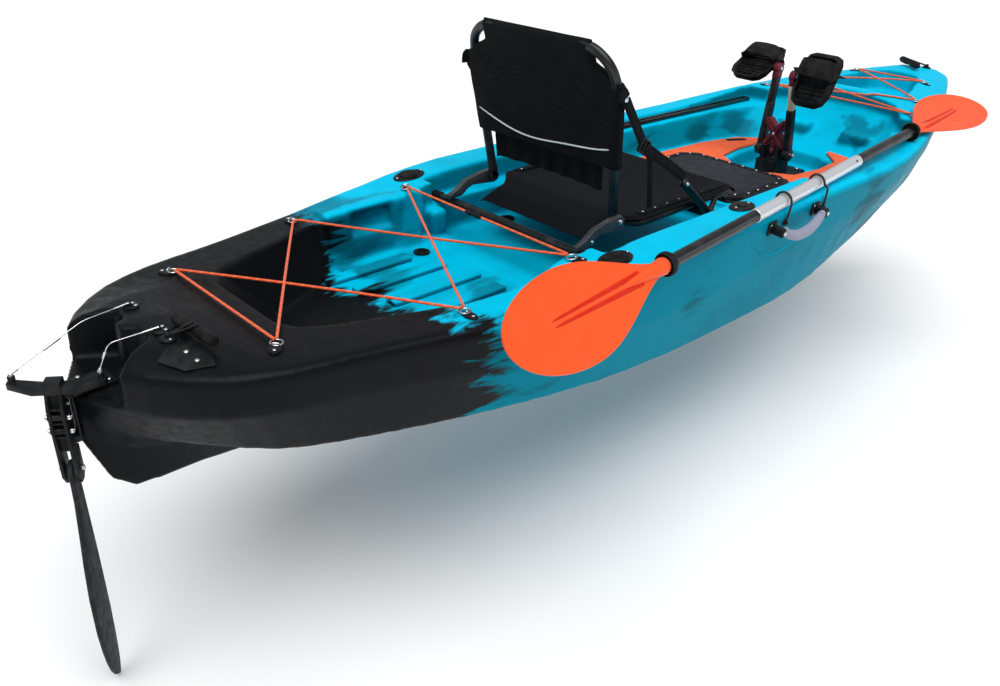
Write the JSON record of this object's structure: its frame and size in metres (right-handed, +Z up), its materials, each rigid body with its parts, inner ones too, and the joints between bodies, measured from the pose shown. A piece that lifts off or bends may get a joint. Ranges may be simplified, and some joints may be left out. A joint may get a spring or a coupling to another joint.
{
  "type": "pedal kayak",
  "caption": "Sit-on-top pedal kayak with moulded hull, framed seat, push-pull pedal drive with flapping fins, steered rudder, deck lashings and a stowed two-bladed paddle.",
  "frame": {"origin": "on the keel's lowest line, at the middle of the hull's length", "axes": "+Z up, +Y towards the bow, +X to starboard"},
  "size_m": [1.0044, 3.2251, 1.1158],
  "materials": {
    "black_fabric": "woven",
    "black_plastic": "satin",
    "bungee": "woven",
    "cast_bracket": "cast",
    "dark_panel": "matte",
    "dark_tube": "anodised",
    "drive_metal": "gloss",
    "foam": "matte",
    "grip_plastic": "satin",
    "hull_plastic": "satin",
    "paddle_plastic": "gloss",
    "silver_tube": "satin",
    "steel": "polished"
  },
  "bodies": {
    "kayak": {"hull": "hull_plastic", "drain_plug": "black_plastic", "rear_eye_aft_port": "steel", "rear_eye_aft_starboard": "steel", "rear_eye_middle_port": "steel", "rear_eye_middle_starboard": "steel", "rear_eye_forward_port": "steel", "rear_eye_forward_starboard": "steel", "rear_bungee": "bungee", "bow_lashing": "bungee", "gear_rail_port": "dark_tube", "gear_rail_starboard": "dark_tube", "rod_holder_port": "black_plastic", "deck_mount_port": "black_plastic", "rod_holder_starboard": "black_plastic", "deck_mount_starboard": "black_plastic", "foam_pad_port": "foam", "foam_pad_starboard": "foam", "hatch_rim": "black_plastic", "stern_toggle": "black_plastic", "bow_toggle": "black_plastic", "rudder_mount": "black_plastic", "steering_cable_port": "steel", "steering_cable_starboard": "steel", "seat_rear_bar": "dark_tube", "seat_base": "dark_tube", "seat_casting_port": "cast_bracket", "seat_casting_starboard": "cast_bracket", "seat_pan": "black_fabric", "seat_strap_port": "black_fabric", "seat_strap_starboard": "black_fabric", "drive_base": "black_plastic", "drive_frame": "drive_metal", "handle_bracket_aft_port": "black_plastic", "handle_bracket_fore_port": "black_plastic", "handle_bracket_aft_starboard": "black_plastic", "handle_bracket_fore_starboard": "black_plastic", "paddle_tie_aft": "black_fabric", "paddle_tie_fore": "black_fabric"},
    "rudder": {"rudder_head": "black_plastic", "rudder_yoke": "black_plastic"},
    "rudder_blade": {"rudder_blade": "dark_panel"},
    "seat_back": {"seat_back_frame": "dark_tube", "seat_back_fabric": "black_fabric"},
    "hatch_lid": {"hatch_lid": "dark_panel"},
    "pedal_arm_port": {"pedal_arm_port": "dark_tube"},
    "pedal_arm_starboard": {"pedal_arm_starboard": "dark_tube"},
    "pedal_port": {"pedal_port": "black_plastic"},
    "pedal_starboard": {"pedal_starboard": "black_plastic"},
    "fin_fore": {"fin_fore": "black_plastic"},
    "fin_aft": {"fin_aft": "black_plastic"},
    "handle_port": {"handle_grip_port": "grip_plastic"},
    "handle_starboard": {"handle_grip_starboard": "grip_plastic"},
    "paddle": {"paddle_sleeve": "silver_tube", "paddle_shaft_fore": "dark_tube", "paddle_blade_fore": "paddle_plastic", "paddle_shaft_aft": "dark_tube", "paddle_blade_aft": "paddle_plastic"}
  },
  "joints": [
    {"name": "rudder_steer", "type": "hinge", "parent": "kayak", "child": "rudder", "pos_m": [0, -1.58727, 0.2], "axis": [0, 0, 1], "range_deg": [-110, 0], "deforming": ["steering_cable_port", "steering_cable_starboard"]},
    {"name": "rudder_kick", "type": "hinge", "parent": "rudder", "child": "rudder_blade", "pos_m": [0.01679, -1.59903, 0.112], "axis": [-0.5736, -0.8192, 0], "range_deg": [0, 90]},
    {"name": "seat_back_fold", "type": "hinge", "parent": "kayak", "child": "seat_back", "pos_m": [0, -0.4128, 0.34286], "axis": [1, 0, 0], "range_deg": [-70, 0], "deforming": ["seat_strap_port", "seat_strap_starboard"]},
    {"name": "hatch_open", "type": "hinge", "parent": "kayak", "child": "hatch_lid", "pos_m": [0, 0.1109, 0.26145], "axis": [1, 0, 0], "range_deg": [0, 88]},
    {"name": "drive_port", "type": "hinge", "parent": "kayak", "child": "pedal_arm_port", "pos_m": [0, 0.56991, 0.27009], "axis": [-1, 0, 0], "range_deg": [-37.5, 22.5]},
    {"name": "drive_starboard", "type": "hinge", "parent": "kayak", "child": "pedal_arm_starboard", "pos_m": [0, 0.56991, 0.27009], "axis": [-1, 0, 0], "range_deg": [-22.5, 37.5]},
    {"name": "pedal_tilt_port", "type": "hinge", "parent": "pedal_arm_port", "child": "pedal_port", "pos_m": [0, 0.60124, 0.50804], "axis": [1, 0, 0], "range_deg": [-20, 25]},
    {"name": "pedal_tilt_starboard", "type": "hinge", "parent": "pedal_arm_starboard", "child": "pedal_starboard", "pos_m": [0, 0.53858, 0.50804], "axis": [1, 0, 0], "range_deg": [-25, 20]},
    {"name": "fin_fore_flap", "type": "hinge", "parent": "kayak", "child": "fin_fore", "pos_m": [0, 0.62491, -0.026], "axis": [0, 1, 0], "range_deg": [-82.5, 49.5]},
    {"name": "fin_aft_flap", "type": "hinge", "parent": "kayak", "child": "fin_aft", "pos_m": [0, 0.51491, -0.026], "axis": [0, 1, 0], "range_deg": [-49.5, 82.5]},
    {"name": "handle_swing_port", "type": "hinge", "parent": "kayak", "child": "handle_port", "pos_m": [-0.44895, -0.09595, 0.30643], "axis": [-0.0068, 0.9993, 0.0377], "range_deg": [0, 70]},
    {"name": "handle_swing_starboard", "type": "hinge", "parent": "kayak", "child": "handle_starboard", "pos_m": [0.44883, -0.09602, 0.30637], "axis": [-0.0074, -0.9992, -0.038], "range_deg": [0, 70]},
    {"name": "paddle_lift", "type": "slide", "parent": "kayak", "child": "paddle", "axis": [0, 0, 1], "range_m": [0, 0.12], "deforming": ["paddle_tie_aft", "paddle_tie_fore"]}
  ],
  "couplings": [
    {"joint": "drive_starboard", "follows": "drive_port", "ratio": -1},
    {"joint": "fin_fore_flap", "follows": "drive_port", "ratio": 2.2},
    {"joint": "fin_aft_flap", "follows": "drive_port", "ratio": -2.2}
  ]
}
